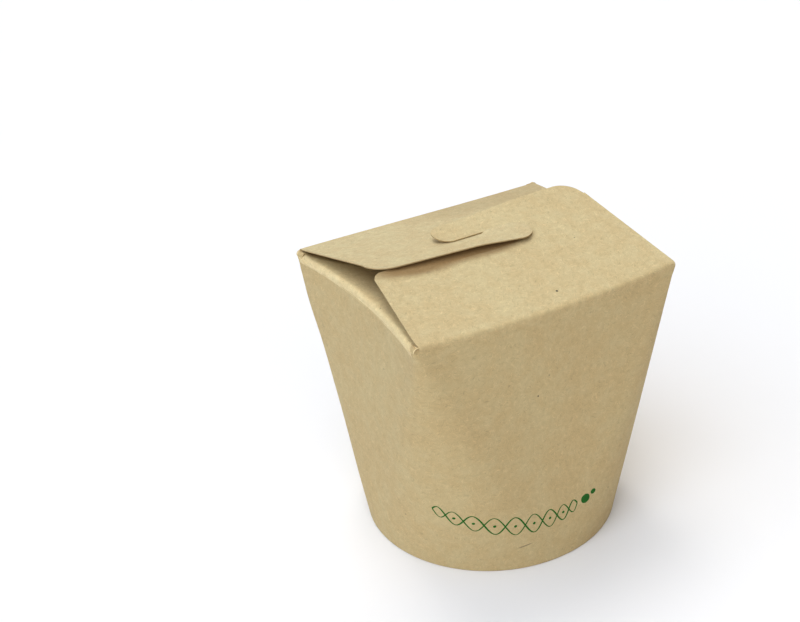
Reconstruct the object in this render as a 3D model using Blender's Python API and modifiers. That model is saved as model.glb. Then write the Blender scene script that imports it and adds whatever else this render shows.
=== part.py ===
"""A shut noodle takeaway box of kraft board, 26 oz size.

The walls are one wrapped blank: round at the foot, rectangular at the folds. Four flaps close the top.
Two side flaps tuck in first, then a front and a back flap rise to a low roof and lock by their slits,
each with a round tongue that lies over the other flap. A round base disc is set into the foot.

World axes: +X to the right along the front wall, +Y to the back, +Z up, the floor at z = 0.
All lengths are in metres.
"""

import math

import bmesh
import bpy

# Driving dimensions of the walls
BASE_RADIUS = 0.0465
TOP_WIDTH = 0.1024
TOP_DEPTH = 0.0860
WALL_HEIGHT = 0.1003
TOP_CORNER_RADIUS = 0.0015
FRONT_BULGE = 0.0030
SIDE_PINCH = 0.0045
BOARD = 0.00045
GAP = 0.0003

# The folds: the front and back folds lie a little higher than the side folds
FRONT_FOLD_RISE = 0.00125
BACK_FOLD_RISE = 0.00080
MAIN_FOLD_RADIUS = 0.0013
SIDE_FOLD_RADIUS = 0.0015
SCORE_DROP = 0.0026
BODY_TOP = WALL_HEIGHT - SCORE_DROP
FRONT_FOLD = WALL_HEIGHT + FRONT_FOLD_RISE
BACK_FOLD = WALL_HEIGHT + BACK_FOLD_RISE

# The foot: the wall's lower edge is turned in round the base, which leaves a recess under it
FOOT_DEPTH = 0.0065
FOOT_RIM = 0.00135
FOOT_EDGE = 0.0003
RECESS_RADIUS = BASE_RADIUS - FOOT_RIM

# The roof: the front flap is flat, the back flap passes under its tongue and then over its left part
ROOF_SLOPE = 0.21
SLIT_Y = 0.0
SLIT_END_LEFT = -0.0018
SLIT_END_RIGHT = 0.0022
SLIT_OPENING = 0.0030
NOTCH_DEPTH = 0.0044
CLEAR_STEP = BOARD + GAP
NEAR_RISE_LEFT = 0.345
NEAR_RISE_RIGHT = 0.12
TONGUE_DROOP = 0.0015
DROOP_REACH = 0.0120
DROOP_FADE_START = -0.005
DROOP_FADE_END = 0.025

# The flaps' outlines, seen from above
FRONT_LEFT_WIDTH = 0.0503
FRONT_RIGHT_WIDTH = 0.0512
FRONT_LEFT_TAPER = 0.150
FRONT_RIGHT_TAPER = 0.085
FRONT_FAR_EDGE = 0.0131
FRONT_CORNER_RADIUS = 0.0081
FRONT_NOTCH_RADIUS = 0.0040
FRONT_NOTCH_ARC_DEG = (90.0, 175.0)
TONGUE_RADIUS = 0.0056
FRONT_TONGUE_X = -0.0098
BACK_HALF_WIDTH = 0.0502
BACK_TAPER = 0.150
BACK_TONGUE_X = 0.0113
BACK_TONGUE_ARC_DEG = (-98.0, 90.0)
BACK_CORNER = (-0.0345, 0.0030)
BACK_CORNER_RADIUS = 0.0092
BACK_CORNER_ARC_DEG = (170.0, 262.0)
BACK_RIGHT_RADIUS = 0.0040

# The side flaps slope down into the box
SIDE_SLOPE = -0.14
SIDE_LENGTH = 0.0465
SIDE_HALF_WIDTH = 0.0421
SIDE_TAPER = 0.20
SIDE_CORNER_RADIUS = 0.008
TROUGH_HALF_WIDTH = 0.0414
TROUGH_CLEARANCE = 0.0009

# How finely the curved surfaces are cut into faces
WALL_ANGLES = 84
WALL_ROWS = 14
CORNER_ANGLES_DEG = (-2.6, -1.3, 0.0, 1.3, 2.6)
CORNER_CLEAR_DEG = 4.2
FOLD_SEGMENTS = 5
ARC_SEGMENTS = 10
COARSE_STEP = 0.008
FINE_STEP = 0.004
NEAR_STEP = 0.002
SLIT_STEP = 0.001
DISC_SEGMENTS = 96
SHARP_DEG = 32.0

# Rows and columns of the back flap near its slit, as shares of the slit's opening
ROWS_BEHIND_SLIT = (1.4, 0.9, 0.1)
ROW_BEFORE_SLIT = 0.3
COLUMN_OUTSIDE_STEP = 0.3
COLUMN_INSIDE_STEP = 0.1

# A cutter runs this far past what it cuts
OVERSHOOT = 0.004
CUT_LOW = 0.080
CUT_HIGH = 0.130


def clear_scene():
    """Remove the objects and meshes of the scene before the box is made."""
    for item in list(bpy.data.objects):
        bpy.data.objects.remove(item, do_unlink=True)
    for mesh in list(bpy.data.meshes):
        bpy.data.meshes.remove(mesh)


def make_collection(name):
    """Return a new collection of this name, linked to the scene."""
    collection = bpy.data.collections.new(name)
    bpy.context.scene.collection.children.link(collection)
    return collection


def make_material(name, colour, roughness):
    """Return a Principled BSDF material of one plain colour."""
    material = bpy.data.materials.new(name)
    material.use_nodes = True
    shader = material.node_tree.nodes["Principled BSDF"]
    shader.inputs["Base Color"].default_value = (*colour, 1.0)
    shader.inputs["Roughness"].default_value = roughness
    shader.inputs["Metallic"].default_value = 0.0
    material.diffuse_color = (*colour, 1.0)
    return material


def object_from_bmesh(name, bm, collection):
    """Put a bmesh into a new object of this name."""
    mesh = bpy.data.meshes.new(name)
    bm.to_mesh(mesh)
    bm.free()
    made = bpy.data.objects.new(name, mesh)
    collection.objects.link(made)
    return made


def smoothstep(value, low, high):
    """Rise smoothly from 0 at low to 1 at high."""
    part = min(1.0, max(0.0, (value - low) / (high - low)))
    return part * part * (3.0 - 2.0 * part)


def shade_round(solid):
    """Shade a piece smooth, with its edges above an angle kept sharp."""
    solid.data.shade_smooth()
    solid.data.set_sharp_from_angle(angle=math.radians(SHARP_DEG))


def boolean(target, cutter, operation, solver="EXACT"):
    """Cut the target with a hidden cutter."""
    cutter.hide_render = True
    cutter.display_type = "WIRE"
    step = target.modifiers.new(f"{operation.lower()} {cutter.name}", "BOOLEAN")
    step.operation = operation
    step.solver = solver
    step.object = cutter


def prism(name, outline, low, high, collection):
    """Extrude a closed outline in plan, a list of (x, y), from height low to height high."""
    curve = bpy.data.curves.new(name, "CURVE")
    curve.dimensions = "2D"
    curve.fill_mode = "BOTH"
    curve.extrude = (high - low) / 2.0
    line = curve.splines.new("POLY")
    line.points.add(len(outline) - 1)
    for point, (x, y) in zip(line.points, outline):
        point.co = (x, y, 0.0, 1.0)
    line.use_cyclic_u = True
    drawn = bpy.data.objects.new(name + "_curve", curve)
    collection.objects.link(drawn)
    bpy.context.view_layer.update()
    graph = bpy.context.evaluated_depsgraph_get()
    mesh = bpy.data.meshes.new_from_object(drawn.evaluated_get(graph))
    mesh.name = name
    bm = bmesh.new()
    bm.from_mesh(mesh)
    bmesh.ops.remove_doubles(bm, verts=bm.verts, dist=1e-6)
    bmesh.ops.recalc_face_normals(bm, faces=bm.faces)
    bm.to_mesh(mesh)
    bm.free()
    bpy.data.objects.remove(drawn, do_unlink=True)
    solid = bpy.data.objects.new(name, mesh)
    solid.location.z = (low + high) / 2.0
    collection.objects.link(solid)
    return solid


# Outline helpers: an outline is a list of points in plan, each stretch a line or an arc


def arc(centre, radius, start_deg, end_deg):
    """Points along a circular arc, both ends included."""
    points = []
    for step in range(ARC_SEGMENTS + 1):
        angle = math.radians(start_deg + (end_deg - start_deg) * step / ARC_SEGMENTS)
        points.append((centre[0] + radius * math.cos(angle), centre[1] + radius * math.sin(angle)))
    return points


# The walls


def wall_section(height):
    """Half-sizes of the inner rectangle and the corner radius of the wall's section at a height.

    The section is a rectangle with round corners. From the floor to the folds its rectangle grows
    from nothing and its corner radius falls from the foot's radius to the small top one.
    """
    part = height / WALL_HEIGHT
    across = part * (TOP_WIDTH / 2.0 - TOP_CORNER_RADIUS)
    deep = part * (TOP_DEPTH / 2.0 - TOP_CORNER_RADIUS)
    radius = (1.0 - part) * BASE_RADIUS + part * TOP_CORNER_RADIUS
    return across, deep, radius


def wall_point(angle, height):
    """The wall's outer point in a direction from the middle, with the front bulge and the side pinch."""
    across, deep, radius = wall_section(height)
    cosine = abs(math.cos(angle))
    sine = abs(math.sin(angle))
    if sine * (across + radius) <= deep * cosine:
        reach = (across + radius) / cosine
    elif cosine * (deep + radius) <= across * sine:
        reach = (deep + radius) / sine
    else:
        along = cosine * across + sine * deep
        reach = along + math.sqrt(along * along - across * across - deep * deep + radius * radius)
    x = reach * math.cos(angle)
    y = reach * math.sin(angle)
    part = height / WALL_HEIGHT
    bulge = FRONT_BULGE * part**2 * (1.0 - (x / (across + radius)) ** 2) if y < 0.0 else 0.0
    pinch = SIDE_PINCH * part**3 * (1.0 - (y / (deep + radius)) ** 2)
    return x - math.copysign(pinch, x), y - bulge


def wall_angles():
    """Directions of the wall's columns: even all round, with extra ones at the four top corners."""
    angles = [2.0 * math.pi * step / WALL_ANGLES for step in range(WALL_ANGLES)]
    corner = math.atan2(TOP_DEPTH, TOP_WIDTH)
    spread = [math.radians(extra) for extra in CORNER_ANGLES_DEG]
    for middle in (corner, math.pi - corner, math.pi + corner, 2.0 * math.pi - corner):
        angles = [angle for angle in angles if abs(angle - middle) > math.radians(CORNER_CLEAR_DEG)]
        angles += [middle + extra for extra in spread]
    return sorted(angles)


def make_body(collection, cutters, material):
    """The walls, filled as a shut pack is: a loft from the round foot to the four folds.

    A recess is cut under it for the base disc, and a shallow trough on top, under the side flaps.
    """
    angles = wall_angles()
    rings = [[(x * (1.0 - FOOT_EDGE / BASE_RADIUS), y * (1.0 - FOOT_EDGE / BASE_RADIUS), 0.0)
              for x, y in (wall_point(angle, 0.0) for angle in angles)]]
    for row in range(WALL_ROWS + 1):
        height = FOOT_EDGE + (BODY_TOP - FOOT_EDGE) * row / WALL_ROWS
        rings.append([(*wall_point(angle, height), height) for angle in angles])
    bm = bmesh.new()
    verts = [[bm.verts.new(point) for point in ring] for ring in rings]
    for lower, upper in zip(verts, verts[1:]):
        for step in range(len(angles)):
            after = (step + 1) % len(angles)
            bm.faces.new((lower[step], lower[after], upper[after], upper[step]))
    bm.faces.new(reversed(verts[0]))
    bm.faces.new(verts[-1])
    body = object_from_bmesh("body", bm, collection)
    body.data.materials.append(material)
    shade_round(body)
    boolean(body, make_recess_cutter(cutters), "DIFFERENCE")
    boolean(body, make_trough_cutter(cutters), "DIFFERENCE")
    return body


def make_recess_cutter(cutters):
    """The round space under the base, inside the foot's rim."""
    bm = bmesh.new()
    bmesh.ops.create_cone(
        bm,
        cap_ends=True,
        segments=DISC_SEGMENTS,
        radius1=RECESS_RADIUS,
        radius2=RECESS_RADIUS,
        depth=FOOT_DEPTH + OVERSHOOT,
    )
    cutter = object_from_bmesh("recess_cutter", bm, cutters)
    cutter.location.z = (FOOT_DEPTH - OVERSHOOT) / 2.0
    return cutter


def make_trough_cutter(cutters):
    """The shallow valley under the two side flaps, cut with a clearance below their undersides."""
    edge = TOP_WIDTH / 2.0
    lowest = WALL_HEIGHT + SIDE_SLOPE * edge - BOARD - TROUGH_CLEARANCE
    start = (WALL_HEIGHT - BOARD - TROUGH_CLEARANCE - BODY_TOP) / SIDE_SLOPE + edge
    top = BODY_TOP + OVERSHOOT
    profile = [(-start, BODY_TOP), (0.0, lowest), (start, BODY_TOP), (start, top), (-start, top)]
    cutter = prism("trough_cutter", profile, -TROUGH_HALF_WIDTH, TROUGH_HALF_WIDTH, cutters)
    cutter.rotation_euler.x = math.pi / 2.0
    cutter.location = (0.0, 0.0, 0.0)
    return cutter


def make_base_disc(collection, material):
    """The round base, set in the foot's recess just under the filled body."""
    bm = bmesh.new()
    bmesh.ops.create_cone(
        bm,
        cap_ends=True,
        segments=DISC_SEGMENTS,
        radius1=RECESS_RADIUS - GAP,
        radius2=RECESS_RADIUS - GAP,
        depth=BOARD,
    )
    disc = object_from_bmesh("base_disc", bm, collection)
    disc.location.z = FOOT_DEPTH - GAP - BOARD / 2.0
    disc.data.materials.append(material)
    shade_round(disc)
    return disc


# The flaps: each is a bent sheet, then cut to its outline in plan


def fold_profile(radius, slope):
    """The rounded fold in section, as (inward, rise) from the sharp fold, wall side first.

    The arc touches the upright wall below and the flap's slope above.
    """
    turn = math.pi / 2.0 - math.atan(slope)
    tangent = radius * math.tan(turn / 2.0)
    points = []
    for step in range(FOLD_SEGMENTS + 1):
        angle = turn * step / FOLD_SEGMENTS
        points.append((radius - radius * math.cos(angle), radius * math.sin(angle) - tangent))
    return points


def front_fold_y(x):
    """The front fold's place, which bows out a little between its ends."""
    return -TOP_DEPTH / 2.0 - FRONT_BULGE * (1.0 - (2.0 * x / TOP_WIDTH) ** 2)


def side_fold_x(y):
    """The left fold's place, which is drawn in a little between its ends."""
    return -TOP_WIDTH / 2.0 + SIDE_PINCH * (1.0 - (2.0 * y / TOP_DEPTH) ** 2)


def front_plane(y):
    """The front flap's slope, from its fold up to the ridge and beyond."""
    return FRONT_FOLD + ROOF_SLOPE * (y + TOP_DEPTH / 2.0)


def front_height(x, y):
    """The front flap's outer surface: a plane whose tongue bends down onto the back flap."""
    beyond = max(0.0, y - SLIT_Y) / DROOP_REACH
    left = 1.0 - smoothstep(x, DROOP_FADE_START, DROOP_FADE_END)
    return front_plane(y) - TONGUE_DROOP * left * beyond**2


def back_height(x, y):
    """The back flap's outer surface.

    Behind the slit it rises evenly from its fold to just under the front flap's tongue. In front of the
    slit it comes out over the front flap, through the notch on the left and from the slit on the right.
    """
    ridge = front_plane(SLIT_Y) - CLEAR_STEP
    if y > SLIT_Y + SLIT_OPENING / 2.0:
        part = (TOP_DEPTH / 2.0 - y) / (TOP_DEPTH / 2.0 - SLIT_Y)
        return BACK_FOLD + (ridge - BACK_FOLD) * part
    right = smoothstep(x, SLIT_END_LEFT, SLIT_END_RIGHT)
    step = CLEAR_STEP * (2.0 * right - 1.0)
    rise = NEAR_RISE_LEFT + (NEAR_RISE_RIGHT - NEAR_RISE_LEFT) * right
    return front_plane(y) + step + rise * (SLIT_Y - y)


def side_height(inward):
    """The side flap's outer surface, which slopes down from its fold into the box."""
    return WALL_HEIGHT + SIDE_SLOPE * inward


def bent_sheet(name, along, inward, fold, place, height, collection):
    """A sheet of board bent at its fold, thickened inwards by Solidify.

    along lists the columns' places along the fold and inward the rows' distances past it. fold is the
    fold's section. place turns (along, inward) into plan, and height gives the surface there.
    """
    rows = [("lip", 0.0)]
    rows += [("fold", index) for index in range(len(fold))]
    rows += [("flap", distance) for distance in inward]
    bm = bmesh.new()
    bmesh.ops.create_grid(bm, x_segments=len(along) - 1, y_segments=len(rows) - 1, size=0.5)
    for vert in bm.verts:
        column = round((vert.co.x + 0.5) * (len(along) - 1))
        kind, value = rows[round((vert.co.y + 0.5) * (len(rows) - 1))]
        step = along[column]
        if kind == "lip":
            vert.co = (*place(step, 0.0), BODY_TOP + GAP)
        elif kind == "fold":
            reach, rise = fold[value]
            vert.co = (*place(step, reach), height(*place(step, 0.0)) + rise)
        else:
            x, y = place(step, value)
            vert.co = (x, y, height(x, y))
    bm.normal_update()
    if sum(face.normal.z * face.calc_area() for face in bm.faces) < 0.0:
        bmesh.ops.reverse_faces(bm, faces=bm.faces)
    sheet = object_from_bmesh(name, bm, collection)
    shade_round(sheet)
    board = sheet.modifiers.new("board", "SOLIDIFY")
    board.thickness = BOARD
    board.offset = -1.0
    board.use_even_offset = False
    return sheet


def spaced(low, high, step):
    """Even places from low to high, no further apart than the step."""
    count = max(1, math.ceil((high - low) / step))
    return [low + (high - low) * index / count for index in range(count + 1)]


def front_outline():
    """The front flap in plan: two slanting edges, a notch on the left, a tongue over the back flap."""
    fold = -TOP_DEPTH / 2.0
    outside = fold - FRONT_BULGE - OVERSHOOT
    notch = SLIT_Y - NOTCH_DEPTH
    left = -FRONT_LEFT_WIDTH + FRONT_LEFT_TAPER * (notch - fold)
    far_x = FRONT_RIGHT_WIDTH - FRONT_RIGHT_TAPER * (FRONT_FAR_EDGE - fold) - FRONT_CORNER_RADIUS
    points = [(-FRONT_LEFT_WIDTH, outside), (FRONT_RIGHT_WIDTH, outside), (FRONT_RIGHT_WIDTH, fold)]
    points += arc((far_x, FRONT_FAR_EDGE - FRONT_CORNER_RADIUS), FRONT_CORNER_RADIUS, 0.0, 90.0)
    points += arc((FRONT_TONGUE_X, SLIT_Y + TONGUE_RADIUS), TONGUE_RADIUS, 90.0, 270.0)
    points += [(SLIT_END_RIGHT, SLIT_Y), (SLIT_END_RIGHT, notch)]
    corner = (left + FRONT_NOTCH_RADIUS, notch - FRONT_NOTCH_RADIUS)
    points += arc(corner, FRONT_NOTCH_RADIUS, *FRONT_NOTCH_ARC_DEG)
    points += [(-FRONT_LEFT_WIDTH, fold)]
    return points


def back_outline():
    """The back flap in plan: its near edge runs from a wide round corner to the tip of its tongue."""
    fold = TOP_DEPTH / 2.0
    outside = fold + OVERSHOOT
    slit = SLIT_Y + SLIT_OPENING
    right = BACK_HALF_WIDTH - BACK_TAPER * (fold - slit)
    points = [(BACK_HALF_WIDTH, fold), (BACK_HALF_WIDTH, outside), (-BACK_HALF_WIDTH, outside)]
    points += [(-BACK_HALF_WIDTH, fold)]
    points += arc(BACK_CORNER, BACK_CORNER_RADIUS, *BACK_CORNER_ARC_DEG)
    points += arc((BACK_TONGUE_X, SLIT_Y - TONGUE_RADIUS), TONGUE_RADIUS, *BACK_TONGUE_ARC_DEG)
    points += [(SLIT_END_LEFT, SLIT_Y), (SLIT_END_LEFT, slit)]
    points += arc((right - BACK_RIGHT_RADIUS, slit + BACK_RIGHT_RADIUS), BACK_RIGHT_RADIUS, -90.0, 0.0)
    return points


def side_outline():
    """The left side flap in plan: narrower at its free end, with round corners."""
    fold = -TOP_WIDTH / 2.0
    end = fold + SIDE_LENGTH
    half = SIDE_HALF_WIDTH - SIDE_TAPER * SIDE_LENGTH
    radius = SIDE_CORNER_RADIUS
    points = [(fold - OVERSHOOT, SIDE_HALF_WIDTH), (fold - OVERSHOOT, -SIDE_HALF_WIDTH)]
    points += [(fold + SIDE_PINCH, -SIDE_HALF_WIDTH)]
    points += arc((end - radius, radius - half), radius, -90.0, 0.0)
    points += arc((end - radius, half - radius), radius, 0.0, 90.0)
    points += [(fold + SIDE_PINCH, SIDE_HALF_WIDTH)]
    return points


def cut_to_outline(sheet, outline, cutters, material, solver="EXACT"):
    """Keep the part of a bent sheet that lies within its outline in plan."""
    sheet.data.materials.append(material)
    cutter = prism(sheet.name + "_cutter", outline, CUT_LOW, CUT_HIGH, cutters)
    boolean(sheet, cutter, "INTERSECT", solver)
    return sheet


def make_front_flap(collection, cutters, material):
    """The front flap, with its slit cut in from the left and its tongue."""
    fold = fold_profile(MAIN_FOLD_RADIUS, ROOF_SLOPE)
    reach = TOP_DEPTH / 2.0 + FRONT_BULGE + FRONT_FAR_EDGE + OVERSHOOT
    half = TOP_WIDTH / 2.0 + OVERSHOOT
    sheet = bent_sheet(
        "front_flap",
        spaced(-half, half, FINE_STEP),
        spaced(fold[-1][0] + FINE_STEP, reach, FINE_STEP),
        fold,
        lambda along, inward: (along, front_fold_y(along) + inward),
        front_height,
        collection,
    )
    return cut_to_outline(sheet, front_outline(), cutters, material)


def make_back_flap(collection, cutters, material):
    """The back flap, with its slit cut in from the right and its tongue."""
    to_slit = TOP_DEPTH / 2.0 - SLIT_Y
    fold = fold_profile(MAIN_FOLD_RADIUS, (front_plane(SLIT_Y) - CLEAR_STEP - BACK_FOLD) / to_slit)
    half = TOP_WIDTH / 2.0 + OVERSHOOT
    rows = [to_slit - SLIT_OPENING * share for share in ROWS_BEHIND_SLIT]
    past_slit = to_slit + SLIT_OPENING * ROW_BEFORE_SLIT
    inward = spaced(fold[-1][0] + COARSE_STEP, rows[0], COARSE_STEP) + rows[1:]
    inward += spaced(past_slit, to_slit + 2.0 * TONGUE_RADIUS + OVERSHOOT, NEAR_STEP)
    outside = SLIT_OPENING * COLUMN_OUTSIDE_STEP
    inside = SLIT_OPENING * COLUMN_INSIDE_STEP
    along = spaced(-half, SLIT_END_LEFT - outside, COARSE_STEP)
    along += spaced(SLIT_END_LEFT + inside, SLIT_END_RIGHT - inside, SLIT_STEP)
    along += spaced(SLIT_END_RIGHT + outside, half, COARSE_STEP)
    sheet = bent_sheet(
        "back_flap",
        along,
        inward,
        fold,
        lambda along, inward: (along, TOP_DEPTH / 2.0 - inward),
        back_height,
        collection,
    )
    return cut_to_outline(sheet, back_outline(), cutters, material, "MANIFOLD")


def make_side_flap(name, side, collection, cutters, material):
    """A side flap. side is -1 for the left one and +1 for its mirror image on the right."""
    fold = fold_profile(SIDE_FOLD_RADIUS, SIDE_SLOPE)
    half = TOP_DEPTH / 2.0
    sheet = bent_sheet(
        name,
        spaced(-half, half, FINE_STEP),
        spaced(fold[-1][0] + FINE_STEP, SIDE_LENGTH + OVERSHOOT, COARSE_STEP),
        fold,
        lambda along, inward: (-side * (side_fold_x(along) + inward), along),
        lambda x, y: side_height(-abs(x) - side_fold_x(y)),
        collection,
    )
    outline = [(-side * x, y) for x, y in side_outline()]
    return cut_to_outline(sheet, outline, cutters, material)


def main():
    """Build the box."""
    clear_scene()
    box = make_collection("noodle_box")
    cutters = make_collection("cutters")
    wall_board = make_material("kraft_board", (0.48, 0.36, 0.20), 0.85)
    front_board = make_material("kraft_board_front_flap", (0.60, 0.47, 0.28), 0.85)
    back_board = make_material("kraft_board_back_flap", (0.56, 0.46, 0.29), 0.85)
    tucked_board = make_material("kraft_board_side_flap", (0.50, 0.40, 0.24), 0.88)
    base_board = make_material("kraft_board_base", (0.46, 0.36, 0.22), 0.88)
    make_body(box, cutters, wall_board)
    make_base_disc(box, base_board)
    make_side_flap("side_flap_left", -1, box, cutters, tucked_board)
    make_side_flap("side_flap_right", 1, box, cutters, tucked_board)
    make_front_flap(box, cutters, front_board)
    make_back_flap(box, cutters, back_board)


main()
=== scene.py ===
# %% [markdown]
# # A shut noodle takeaway box of kraft board
#
# The box starts as one flat blank of thin brown board. It is wrapped round a base disc, glued at one
# corner, and its four top flaps are folded in and locked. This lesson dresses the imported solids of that
# box: each visible piece is a sheet of board worked out with numpy, and one shader recipe gives the
# board its fibres. All lengths are in metres, +Z is up, and the front wall faces -Y.

# %% Load the fixed frame
import math

import bmesh
import bpy
import numpy as np
from mathutils import Matrix, Vector


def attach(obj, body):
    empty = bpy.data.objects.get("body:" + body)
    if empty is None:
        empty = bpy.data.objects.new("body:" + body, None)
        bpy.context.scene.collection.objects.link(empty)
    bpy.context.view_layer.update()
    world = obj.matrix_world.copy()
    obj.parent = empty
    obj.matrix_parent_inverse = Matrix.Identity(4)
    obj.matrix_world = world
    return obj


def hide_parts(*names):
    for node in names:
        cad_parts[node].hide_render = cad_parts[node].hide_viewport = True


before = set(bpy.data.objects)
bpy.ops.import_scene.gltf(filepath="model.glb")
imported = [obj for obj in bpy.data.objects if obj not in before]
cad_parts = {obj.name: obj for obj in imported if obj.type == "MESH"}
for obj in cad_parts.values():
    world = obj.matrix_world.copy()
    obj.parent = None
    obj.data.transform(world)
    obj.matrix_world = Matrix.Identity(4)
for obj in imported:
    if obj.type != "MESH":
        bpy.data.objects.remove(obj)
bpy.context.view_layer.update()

print("nodes:", sorted(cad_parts))

# %% [markdown]
# ## The driving sizes
#
# Every piece below is worked out from these few sizes of the 26 oz box. They are the sizes of the
# solids, but for the top corners, which are a little sharper here, so a sheet lies where its solid is.

# %% Sizes of the walls, folds and roof
BASE_RADIUS = 0.0465
TOP_WIDTH = 0.1024
TOP_DEPTH = 0.0860
WALL_HEIGHT = 0.1003
TOP_CORNER = 0.0006
FRONT_BULGE = 0.0030
SIDE_PINCH = 0.0045
BOARD = 0.00040
LIFT = BOARD + 0.00012

FRONT_FOLD = WALL_HEIGHT + 0.00125
BACK_FOLD = WALL_HEIGHT + 0.00080
SCORE = WALL_HEIGHT - 0.0026
MAIN_FOLD_RADIUS = 0.0013
SIDE_FOLD_RADIUS = 0.0015
ROOF_SLOPE = 0.21
SIDE_SLOPE = -0.14
HALF_DEPTH = TOP_DEPTH / 2.0
print("top", TOP_WIDTH, "by", TOP_DEPTH, "m, walls", WALL_HEIGHT, "m high")

# %% [markdown]
# ## Helpers for sheets made from arrays
#
# A sheet is drawn as one or more rectangular blocks of points. Blocks of one sheet share their edge
# points, so after the double points are merged the sheet is one piece. A grid could also be drawn with a
# primitive and pushed into shape, but whole arrays keep each formula in one line and need no loop.

# %% Grids and soft steps
def grid_faces(rows, columns):
    """Corner numbers of the quads between neighbouring points of a grid."""
    index = np.arange(rows * columns).reshape(rows, columns)
    corners = [index[:-1, :-1], index[:-1, 1:], index[1:, 1:], index[1:, :-1]]
    return np.stack(corners, axis=-1).reshape(-1, 4)


def smooth_rise(value, low, high):
    """Rise from 0 at low to 1 at high by 3t^2 - 2t^3."""
    part = np.clip((value - low) / (high - low), 0.0, 1.0)
    return part * part * (3.0 - 2.0 * part)


def bell(value, middle, width):
    """A bell curve of height 1: e to the minus ((value - middle) / width)^2."""
    return np.exp(-(((value - middle) / width) ** 2))


def round_end(past, radius):
    """Half the height of a circle at a distance past its middle: the root of radius^2 - past^2."""
    return np.sqrt(radius**2 - np.clip(past, 0.0, radius) ** 2)


# %% One mesh from its blocks
MERGE_DISTANCE = 2e-6
SHEET_V = 4


def block_of(x, y, z, u, v, fold=0.0):
    """A block of points: x, y, z, the place u, v on the flat sheet, and the fold mask, in one array."""
    return np.stack(np.broadcast_arrays(x, y, z, u, v, fold), axis=-1)


def add_object(name, data):
    """A new object with this data, in the scene."""
    added = bpy.data.objects.new(name, data)
    bpy.context.scene.collection.objects.link(added)
    return added


def sheet_from_blocks(name, blocks):
    """One mesh from blocks, with the sheet's places as a UV map and the fold mask as an attribute."""
    starts = np.cumsum([0] + [block[..., 0].size for block in blocks])
    values = np.concatenate([block.reshape(-1, block.shape[-1]) for block in blocks])
    faces = np.concatenate([grid_faces(*block.shape[:2]) + start for block, start in zip(blocks, starts)])
    mesh = bpy.data.meshes.new(name)
    mesh.from_pydata(values[:, :3], [], faces)
    layer = mesh.uv_layers.new(name="sheet")
    layer.data.foreach_set("uv", values[faces.ravel(), 3:5].ravel().astype(np.float32))
    mask = mesh.attributes.new("fold", "FLOAT", "POINT")
    mask.data.foreach_set("value", values[:, 5].astype(np.float32))
    bm = bmesh.new()
    bm.from_mesh(mesh)
    bmesh.ops.remove_doubles(bm, verts=bm.verts, dist=MERGE_DISTANCE)
    bmesh.ops.dissolve_degenerate(bm, edges=bm.edges, dist=MERGE_DISTANCE)
    bm.to_mesh(mesh)
    bm.free()
    return add_object(name, mesh)


# %% Facing outwards, thickness and a report
SHARP_ANGLE = math.radians(40.0)
EDGE_SLOT = 1


def turn_faces(piece, flat):
    """Flip the faces if most of their area looks down or, on a piece that stands, inwards."""
    bm = bmesh.new()
    bm.from_mesh(piece.data)
    bm.normal_update()
    area_outwards = 0.0
    for face in bm.faces:
        middle = face.calc_center_median()
        outwards = Vector((0.0, 0.0, 1.0)) if flat else Vector((middle.x, middle.y, 0.0))
        area_outwards += face.normal.dot(outwards) * face.calc_area()
    if area_outwards < 0.0:
        bmesh.ops.reverse_faces(bm, faces=bm.faces)
    bm.to_mesh(piece.data)
    bm.free()


def give_thickness(piece):
    """Turn an open sheet into board: Solidify inwards, with the cut edge in the next material slot."""
    board = piece.modifiers.new("board", "SOLIDIFY")
    board.thickness = BOARD
    board.offset = -1.0
    board.material_offset_rim = EDGE_SLOT
    graph = bpy.context.evaluated_depsgraph_get()
    mesh = bpy.data.meshes.new_from_object(piece.evaluated_get(graph))
    mesh.name = piece.name
    piece.modifiers.clear()
    piece.data = mesh
    mesh.shade_smooth()
    mesh.set_sharp_from_angle(angle=SHARP_ANGLE)


def report(piece):
    """Print a piece's size in millimetres and its count of triangles."""
    points = np.empty(len(piece.data.vertices) * 3)
    piece.data.vertices.foreach_get("co", points)
    size = np.ptp(points.reshape(-1, 3), axis=0) * 1000.0
    piece.data.calc_loop_triangles()
    print(f"{piece.name}: {size.round(1)} mm, {len(piece.data.loop_triangles)} triangles")


# %% [markdown]
# ## Shader maths in plain expressions
#
# Board looks like board because many faint patterns lie over each other: clouds, mottle, light and dark
# fibres, specks. Wiring that by hand is long, so one small class carries a socket and turns `a * b + c`
# into Math nodes. Every other node comes from one method that takes its type, settings and inputs.

# %% A socket that can be added, subtracted and multiplied
def set_input(slot, value):
    """Link a flow to an input, or set the input's own value."""
    if isinstance(value, Flow):
        value.tree.links.new(value.socket, slot)
    else:
        slot.default_value = value


class Flow:
    """One value on its way through a shader. Its operators add Math nodes."""

    def __init__(self, tree, socket):
        self.tree = tree
        self.socket = socket

    def math(self, operation, first, second):
        node = self.tree.nodes.new("ShaderNodeMath")
        node.operation = operation
        set_input(node.inputs[0], first)
        set_input(node.inputs[1], second)
        return Flow(self.tree, node.outputs[0])

    def __add__(self, other):
        return self.math("ADD", self, other)

    def __radd__(self, other):
        return self.math("ADD", other, self)

    def __sub__(self, other):
        return self.math("SUBTRACT", self, other)

    def __rsub__(self, other):
        return self.math("SUBTRACT", other, self)

    def __mul__(self, other):
        return self.math("MULTIPLY", self, other)

    def above(self, low, high):
        """0 below low, 1 above high, smooth between: a Map Range node."""
        node = self.tree.nodes.new("ShaderNodeMapRange")
        node.interpolation_type = "SMOOTHSTEP"
        set_input(node.inputs["Value"], self)
        set_input(node.inputs["From Min"], low)
        set_input(node.inputs["From Max"], high)
        return Flow(self.tree, node.outputs["Result"])


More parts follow.
